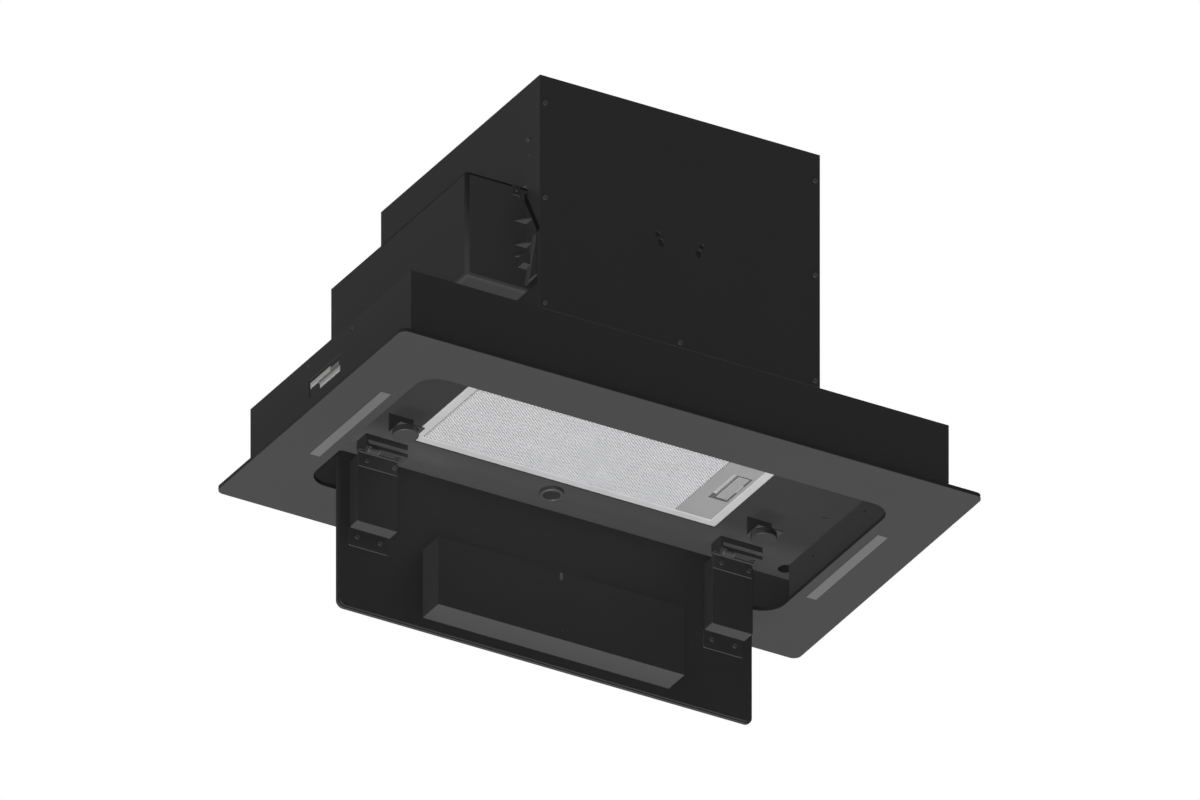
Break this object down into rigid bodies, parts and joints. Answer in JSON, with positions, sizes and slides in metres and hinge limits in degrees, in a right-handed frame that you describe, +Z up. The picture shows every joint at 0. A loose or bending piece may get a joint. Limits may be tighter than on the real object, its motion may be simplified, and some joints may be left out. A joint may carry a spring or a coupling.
{
  "type": "range hood insert",
  "caption": "Built-in range hood insert: wide cover plate, low box with grease filter and hanging flap, tall motor box with side blower casing and round duct collar.",
  "frame": {"origin": "centre of the cover plate's top face, in the plane that seats under the cabinet", "axes": "+X to the right along the wide side, +Y to the rear where the flap hangs, +Z up to the duct"},
  "size_m": [0.702, 0.391, 0.563],
  "materials": {
    "plate_coat": "fine matt powder coat, dark grey",
    "lens": "frosted diffuser, satin",
    "lamp_board": "white solder mask",
    "channel": "extruded, natural",
    "box_steel": "black coated steel, matt",
    "pan_coat": "dark grey coated steel, matt",
    "casing_plastic": "black moulded, fine texture",
    "fan_plastic": "black moulded",
    "motor_steel": "grey coated",
    "bright_steel": "ground",
    "foot_rubber": "matt",
    "zinc_sheet": "zinc coated, spangled",
    "box_plastic": "black moulded",
    "circuit_board": "green solder mask",
    "white_plastic": "white moulded",
    "filter_aluminium": "rolled, satin",
    "filter_net": "expanded mesh",
    "handle_plastic": "grey, satin",
    "latch_plastic": "grey, ribbed",
    "bezel_plastic": "dark grey, satin",
    "button_plastic": "black, satin",
    "bracket_steel": "black coated, folded sheet",
    "magnet_cap": "dark grey, satin",
    "hinge_plastic": "black moulded",
    "flap_coat": "dark grey powder coat, matt",
    "liner_coat": "black coated steel, matt",
    "dark_screw": "black zinc"
  },
  "bodies": {
    "hood": {"cover_plate": "plate_coat", "led_lens_left": "lens", "led_lens_right": "lens", "led_board_left": "lamp_board", "led_board_right": "lamp_board", "led_housing_left": "channel", "led_housing_right": "channel", "lower_box": "box_steel", "inner_pan": "pan_coat", "upper_front_panel": "box_steel", "upper_left_panel": "box_steel", "upper_right_panel": "box_steel", "upper_rear_panel": "box_steel", "upper_top_panel": "box_steel", "blower_base": "casing_plastic", "blower_scroll": "casing_plastic", "blower_lid": "casing_plastic", "motor": "motor_steel", "motor_mounts": "foot_rubber", "outlet_duct": "zinc_sheet", "outlet_collar": "zinc_sheet", "damper_pin": "bright_steel", "control_box": "box_plastic", "control_board": "circuit_board", "connectors": "white_plastic", "cable_gland": "box_plastic", "button_bezel": "bezel_plastic", "switch_body": "box_plastic", "catch_bracket_left": "bracket_steel", "catch_bracket_right": "bracket_steel", "catch_disc_left": "magnet_cap", "catch_disc_right": "magnet_cap", "hinge_bracket_left": "bracket_steel", "hinge_bracket_right": "bracket_steel", "hinge_pin_left": "bright_steel", "hinge_pin_right": "bright_steel", "box_screws": "dark_screw", "hinge_screws": "dark_screw", "pan_screws": "dark_screw", "earth_screw": "dark_screw"},
    "flap": {"flap_panel": "flap_coat", "flap_liner": "liner_coat", "flap_baffle": "liner_coat", "hinge_leaf_left": "bracket_steel", "hinge_leaf_right": "bracket_steel", "hinge_block_left": "hinge_plastic", "hinge_block_right": "hinge_plastic", "leaf_screws": "dark_screw"},
    "filter": {"filter_frame": "filter_aluminium", "filter_mesh": "filter_net", "filter_handle": "handle_plastic"},
    "latch": {"filter_latch": "latch_plastic"},
    "button": {"push_button": "button_plastic"},
    "fan": {"impeller": "fan_plastic", "motor_shaft": "bright_steel"},
    "left_damper": {"damper_left": "fan_plastic"},
    "right_damper": {"damper_right": "fan_plastic"}
  },
  "joints": [
    {"name": "flap_hinge", "type": "hinge", "parent": "hood", "child": "flap", "pos_m": [0, 0.086, 0.0275], "axis": [1, 0, 0], "range_deg": [-90, 0]},
    {"name": "filter_swing", "type": "hinge", "parent": "hood", "child": "filter", "pos_m": [-0.1845, -0.0005, 0.0495], "axis": [0, 1, 0], "range_deg": [0, 60]},
    {"name": "latch_slide", "type": "slide", "parent": "filter", "child": "latch", "axis": [1, 0, 0], "range_m": [-0.006, 0.0018], "stiffness_N_per_m": 120},
    {"name": "button_press", "type": "slide", "parent": "hood", "child": "button", "axis": [0, 0, 1], "range_m": [0, 0.0025], "stiffness_N_per_m": 300},
    {"name": "fan_spin", "type": "hinge", "parent": "hood", "child": "fan", "pos_m": [-0.075, 0.006, 0.15], "axis": [0, 0, 1], "continuous": true},
    {"name": "damper_left_swing", "type": "hinge", "parent": "hood", "child": "left_damper", "pos_m": [0.072, 0.006, 0.386], "axis": [0, 1, 0], "range_deg": [0, 75]},
    {"name": "damper_right_swing", "type": "hinge", "parent": "hood", "child": "right_damper", "pos_m": [0.072, 0.006, 0.386], "axis": [0, -1, 0], "range_deg": [0, 75]}
  ]
}
